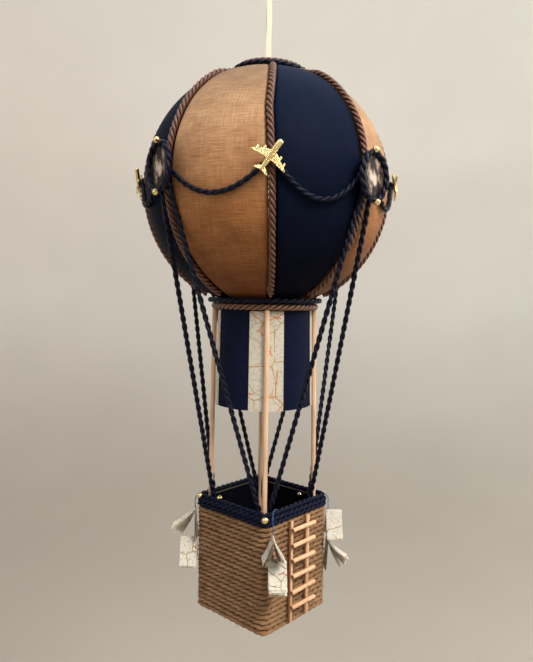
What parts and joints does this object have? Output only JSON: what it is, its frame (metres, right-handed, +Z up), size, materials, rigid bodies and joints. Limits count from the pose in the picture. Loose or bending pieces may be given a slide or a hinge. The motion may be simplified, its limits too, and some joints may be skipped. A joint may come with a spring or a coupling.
{
  "type": "hanging model hot air balloon",
  "caption": "Handmade hanging hot air balloon model: fabric covered ball with corded seams, map paper skirt, cord stays and a twine wrapped basket.",
  "frame": {"origin": "inner top of the ribbon's loop, where the model hangs", "axes": "+Z up along the ribbon, -Y out of the basket's face with the ladder, +X to the right of someone facing that face"},
  "size_m": [0.1671, 0.1666, 0.4041],
  "materials": {
    "fabric_navy": "matt woven cotton",
    "fabric_tan": "slubbed woven fabric with a soft sheen",
    "cord_brown": "twisted satin cord",
    "cord_navy": "twisted cord with a soft sheen",
    "map_paper": "matt printed paper",
    "photo_card": "smooth printed card",
    "gold": "polished gold coloured metal",
    "wood": "bare birch sticks",
    "jute": "rough jute twine",
    "ribbon": "ivory satin ribbon"
  },
  "bodies": {
    "root": {"gore_2": "fabric_navy", "gore_4": "fabric_navy", "gore_6": "fabric_navy", "gore_8": "fabric_navy", "crown_cap": "fabric_navy", "base_cap": "fabric_navy", "skirt": "fabric_navy", "basket_lining": "fabric_navy", "gore_1": "fabric_tan", "gore_3": "fabric_tan", "gore_5": "fabric_tan", "gore_7": "fabric_tan", "seam_cord_1": "cord_brown", "seam_cord_2": "cord_brown", "seam_cord_3": "cord_brown", "seam_cord_4": "cord_brown", "seam_cord_5": "cord_brown", "seam_cord_6": "cord_brown", "seam_cord_7": "cord_brown", "seam_cord_8": "cord_brown", "crown_ring_brown": "cord_brown", "mouth_ring_brown": "cord_brown", "crown_ring_navy": "cord_navy", "mouth_ring_navy": "cord_navy", "rim_cord": "cord_navy", "garland_front_left": "cord_navy", "garland_front_right": "cord_navy", "garland_back_right": "cord_navy", "garland_back_left": "cord_navy", "medallion_frame_front": "cord_navy", "medallion_frame_right": "cord_navy", "medallion_frame_back": "cord_navy", "medallion_frame_left": "cord_navy", "stay_front": "cord_navy", "stay_right": "cord_navy", "stay_back": "cord_navy", "stay_left": "cord_navy", "map_strip_front_left": "map_paper", "map_strip_front_right": "map_paper", "map_strip_back_right": "map_paper", "map_strip_back_left": "map_paper", "medallion_card_front": "photo_card", "medallion_card_right": "photo_card", "medallion_card_back": "photo_card", "medallion_card_left": "photo_card", "plane_front_left": "gold", "plane_front_right": "gold", "plane_back_right": "gold", "plane_back_left": "gold", "dowel_front_left": "wood", "dowel_front_right": "wood", "dowel_back_right": "wood", "dowel_back_left": "wood", "ladder": "wood", "basket": "jute", "ribbon": "ribbon"},
    "bundle_front_left": {"paper_bundle_front_left": "map_paper"},
    "bundle_front_right": {"paper_bundle_front_right": "map_paper"},
    "bundle_back_right": {"paper_bundle_back_right": "map_paper"},
    "bundle_back_left": {"paper_bundle_back_left": "map_paper"}
  },
  "joints": [
    {"name": "bundle_swing_front_left", "type": "hinge", "parent": "root", "child": "bundle_front_left", "pos_m": [-0.0274, -0.03377, -0.3335], "axis": [-0.7071, 0.7071, 0], "range_deg": [0, 60]},
    {"name": "bundle_swing_front_right", "type": "hinge", "parent": "root", "child": "bundle_front_right", "pos_m": [0.03059, -0.03059, -0.3335], "axis": [-0.7071, -0.7071, 0], "range_deg": [0, 60]},
    {"name": "bundle_swing_back_right", "type": "hinge", "parent": "root", "child": "bundle_back_right", "pos_m": [0.03059, 0.03059, -0.3335], "axis": [0.7071, -0.7071, 0], "range_deg": [0, 60]},
    {"name": "bundle_swing_back_left", "type": "hinge", "parent": "root", "child": "bundle_back_left", "pos_m": [-0.03059, 0.03059, -0.3335], "axis": [0.7071, 0.7071, 0], "range_deg": [0, 60]}
  ]
}
